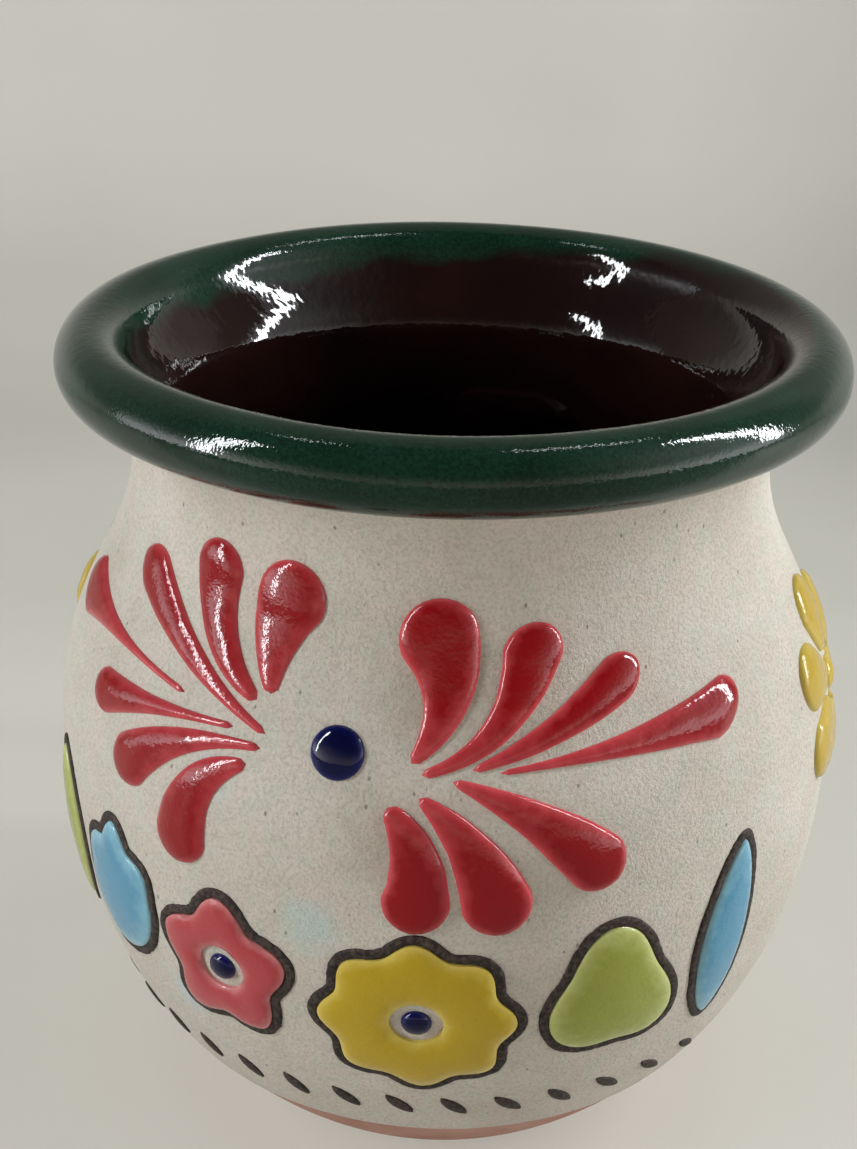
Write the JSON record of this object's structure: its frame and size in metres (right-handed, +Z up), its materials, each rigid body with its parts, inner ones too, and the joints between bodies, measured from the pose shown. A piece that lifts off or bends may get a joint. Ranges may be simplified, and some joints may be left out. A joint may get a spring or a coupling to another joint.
{
  "type": "clay mug",
  "caption": "Round-bellied clay mug with a rolled green rim, dark glazed inside, sandy white slip, raised red brush strokes and a flower border, and a strap handle at the back.",
  "frame": {"origin": "centre of the flat foot, on the surface that the mug stands on", "axes": "+Z up, +Y towards the handle, -Y towards the blue dot between the red fans, +X to the right seen from that dot"},
  "size_m": [0.1008, 0.1319, 0.1055],
  "materials": {
    "bare_clay": "bare low-fired clay, matte and slightly gritty",
    "sandy_slip": "matte white slip with fine sand and dark specks",
    "green_glaze": "glossy dark green glaze",
    "dark_glaze": "glossy near-black brown liner glaze",
    "red_glaze": "glossy raised red glaze",
    "navy_glaze": "glossy raised navy glaze",
    "petal_yellow_glaze": "glossy raised yellow glaze",
    "leaf_green_glaze": "glossy raised leaf green glaze",
    "sky_blue_glaze": "glossy raised light blue glaze",
    "pink_red_glaze": "glossy raised pink-red glaze",
    "ochre_yellow_glaze": "glossy raised ochre yellow glaze",
    "brown_line": "matte dark brown drawn line"
  },
  "bodies": {
    "root": {"clay_body": "bare_clay", "strap_handle": "bare_clay", "slip_coat": "sandy_slip", "rim_glaze": "green_glaze", "liner_glaze": "dark_glaze", "handle_glaze": "green_glaze", "left_fan": "red_glaze", "right_fan": "red_glaze", "centre_dot": "navy_glaze", "side_flowers": "petal_yellow_glaze", "flower_hearts": "ochre_yellow_glaze", "border_green": "leaf_green_glaze", "border_blue": "sky_blue_glaze", "border_red": "pink_red_glaze", "border_yellow": "ochre_yellow_glaze", "blossom_hearts": "navy_glaze", "border_outlines": "brown_line", "foot_dabs": "brown_line"}
  },
  "joints": []
}
